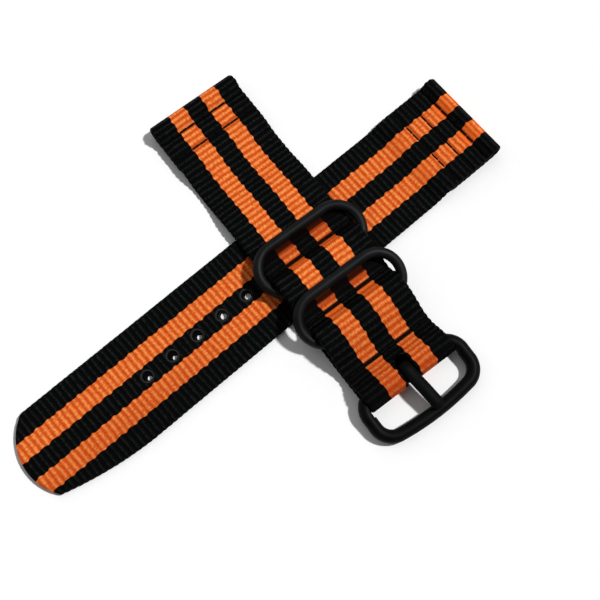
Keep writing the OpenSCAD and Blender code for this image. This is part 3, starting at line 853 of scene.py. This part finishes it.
def thread_material():
    """Black sewing thread with its twist."""
    m = Nodes("black thread")
    ply = m.math("SINE", m.plus(m.times(m.attribute("along"), 18.0), m.times(m.attribute("across"), 2.0)))
    fuzz = m.noise(m.position_mm(), 22.0)
    colour = m.mix(m.remap(m.plus(ply, fuzz), -0.6, 1.6), THREAD_DARK, THREAD_LIGHT)
    rough = m.remap(fuzz, 0.3, 0.7, 0.45, 0.65)
    return m.finish(colour, rough, m.plus(m.times(ply, 0.012), m.times(fuzz, 0.02)), 0.04)


def metal_material(name, low, high, rough, specular, crown=None):
    """Coated steel; crown is the middle line and half width of a blade whose face is rounded."""
    m = Nodes(name)
    place = m.position_mm()
    grain, patch = m.noise(place, 9.0, 4.0), m.noise(place, 0.35, 2.0)
    worn = m.remap(m.noise(place, 1.6, 5.0), 0.6, 0.78, 0.0, 0.4)
    colour = m.mix(m.remap(patch, 0.3, 0.7), low, high)
    colour = m.mix(worn, colour, tuple(1.7 * c for c in high))
    rough = m.plus(m.remap(grain, 0.3, 0.7, rough - 0.05, rough + 0.05), m.times(patch, 0.06))
    raised = m.times(grain, 0.012)
    if crown:
        x0, y0, slope, half = crown
        parts = m.add("ShaderNodeSeparateXYZ")
        m.link(place, parts.inputs[0])
        middle = m.plus(x0, m.times(m.minus(parts.outputs[1], y0), slope))
        off = m.math("DIVIDE", m.minus(parts.outputs[0], middle), half)
        raised = m.minus(raised, m.times(m.times(off, off), 0.5))
    return m.finish(colour, rough, raised, specular)


# Webbing pieces
woven = webbing_material()
tail = Ribbon(top_path(TAIL_FOLD, tail_z, TAIL_LEN))
tail_rows = [(tail.u_at(s, run), TAIL_BLACK) for s in TAIL_ROWS for run in ("top", "fold")]
eyelet_holes = []
for s, lower_edge in zip(EYELETS, LOWER_EDGES):
    at = tail.u_at(s, "top")
    eyelet_holes.append(Hole(at - EYELET_R, at + EYELET_R, EYELET_R, lower_edge))
# The tail gets its painted shade and painted light here
tail_web = weave(
    "tail_webbing_weave", tail, on_tail, tail_rows, eyelet_holes, painted_shade_tail, painted_light_tail, tip=True
)
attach(tail_web, "tail_piece")
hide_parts("tail_webbing")

buckle = Ribbon(top_path(LUG_FOLD, under_z, PIVOT_AT) + buckle_fold())
buckle_rows = [(buckle.u_at(s, run), LUG_BLACK) for s in LUG_ROWS for run in ("top", "fold")]
for s in (UPPER_ROW, MIDDLE_ROW, BUCKLE_ROW):
    buckle_rows += [(buckle.u_at(s, run), KEEPER_BLACK) for run in ("top", "back")]
slot_start = buckle.u_at(PIVOT_AT - SLOT_BACK, "top")
slot_end = buckle.u_at(PIVOT_AT - SLOT_BELOW, "back")
slot = Hole(slot_start, slot_end, SLOT_HALF, None)
# The buckle piece gets its painted shade and painted light here
buckle_web = weave(
    "buckle_webbing_weave", buckle, on_buckle, buckle_rows, [slot], painted_shade_buckle, painted_light_buckle, keepers=True
)
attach(buckle_web, "buckle_piece")
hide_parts("buckle_webbing")

# Rows of thread: the height of the upper and the lower face, and which way each looks
thread = thread_material()
for i, s in enumerate(TAIL_ROWS, 1):
    levels = ((float(outside(tail_z, s)), 1), (0.0, -1))
    stitch_row(f"tail_thread_{i}", s, TAIL_THREAD_R, levels, on_tail, f"tail_stitch_row_{i}", "tail_piece")
for i, s in enumerate(LUG_ROWS, 1):
    levels = ((float(outside(under_z, s)), 1), (0.0, -1))
    stitch_row(f"lug_thread_{i}", s, LUG_THREAD_R, levels, on_buckle, f"lug_stitch_row_{i}", "buckle_piece")
for name, s, node in (
    ("upper_keeper_thread", UPPER_ROW, "upper_keeper_stitch_row"),
    ("middle_thread", MIDDLE_ROW, "middle_stitch_row"),
    ("buckle_thread", BUCKLE_ROW, "buckle_stitch_row"),
):
    levels = ((float(outside(under_z, s)), 1), (float(back_z(s)), -1))
    stitch_row(name, s, KEEPER_THREAD_R, levels, on_buckle, node, "buckle_piece")

# Metal pieces keep their CAD shape
ring_metal = metal_material("satin black wire", WIRE_DARK, WIRE_LIGHT, 0.5, 0.14)
frame_metal = metal_material("matte black bar", BAR_DARK, BAR_LIGHT, 0.46, 0.055)
blade = (BUCKLE_X, LUG_Y - PIVOT_AT, -math.tan(math.radians(TONGUE_LEAN)), TONGUE_HALF)
tongue_metal = metal_material("matte black blade", BAR_DARK, BAR_LIGHT, 0.6, 0.06, blade)
for name, metal in (
    ("upper_keeper_ring", ring_metal),
    ("lower_keeper_ring", ring_metal),
    ("buckle_frame", frame_metal),
    ("buckle_tongue", tongue_metal),
):
    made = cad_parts[name]
    made.data.materials.clear()
    made.data.materials.append(metal)


# Stage
def pale_floor():
    """A pale floor under the strap, a hair below it, in metres."""
    reach, below = 1.5, 0.00005
    mesh = bpy.data.meshes.new("floor")
    corners = [(-reach, -reach, 0), (reach, -reach, 0), (reach, reach, 0), (-reach, reach, 0)]
    mesh.from_pydata(corners, [], [(0, 1, 2, 3)])
    m = Nodes("pale floor")
    grain = m.noise(m.position_mm(), 0.5)
    m.finish(m.mix(grain, FLOOR_DARK, FLOOR_LIGHT), 0.9, m.times(grain, 0.01), 0.1)
    mesh.materials.append(m.material)
    floor = bpy.data.objects.new("floor", mesh)
    floor.location.z = -below
    bpy.context.scene.collection.objects.link(floor)


def lights():
    """A weak even light all round, a key light from the right and a broad one beyond the strap."""
    world = bpy.data.worlds.new("studio")
    bpy.context.scene.world = world
    world.use_nodes = True
    world.node_tree.nodes["Background"].inputs["Color"].default_value = (1, 1, 1, 1)
    world.node_tree.nodes["Background"].inputs["Strength"].default_value = 0.12
    # Strength, width and height above the floor in degrees, and the side it comes from
    for name, power, soft_deg, high_deg, x, y in (
        ("key", 3.05, 5, 57, 0.91, -0.41),
        ("side", 0.8, 100, 35, -0.1, 0.99),
    ):
        lamp = bpy.data.lights.new(name, "SUN")
        lamp.energy = power
        lamp.angle = math.radians(soft_deg)
        light = bpy.data.objects.new(name, lamp)
        bpy.context.scene.collection.objects.link(light)
        towards = Vector((x, y, 0)).normalized() * math.cos(math.radians(high_deg))
        towards.z = math.sin(math.radians(high_deg))
        light.rotation_euler = towards.to_track_quat("Z", "Y").to_euler()


def photo_camera():
    """The camera that took the photo."""
    cam = bpy.data.cameras.new("camera")
    cam.sensor_width = 36
    cam.angle = 2 * math.atan(HALF_PHOTO_PX / FOCAL_PX)
    cam.clip_start = 0.01
    camera = bpy.data.objects.new("camera", cam)
    bpy.context.scene.collection.objects.link(camera)
    right, ahead = Vector(CAMERA_RIGHT), Vector(CAMERA_AHEAD)
    rows = zip(right, right.cross(ahead), -ahead, CAMERA_AT)
    camera.matrix_world = Matrix([*rows, (0, 0, 0, 1)])
    bpy.context.scene.camera = camera
    bpy.context.scene.view_settings.view_transform = "Standard"


pale_floor()
lights()
photo_camera()
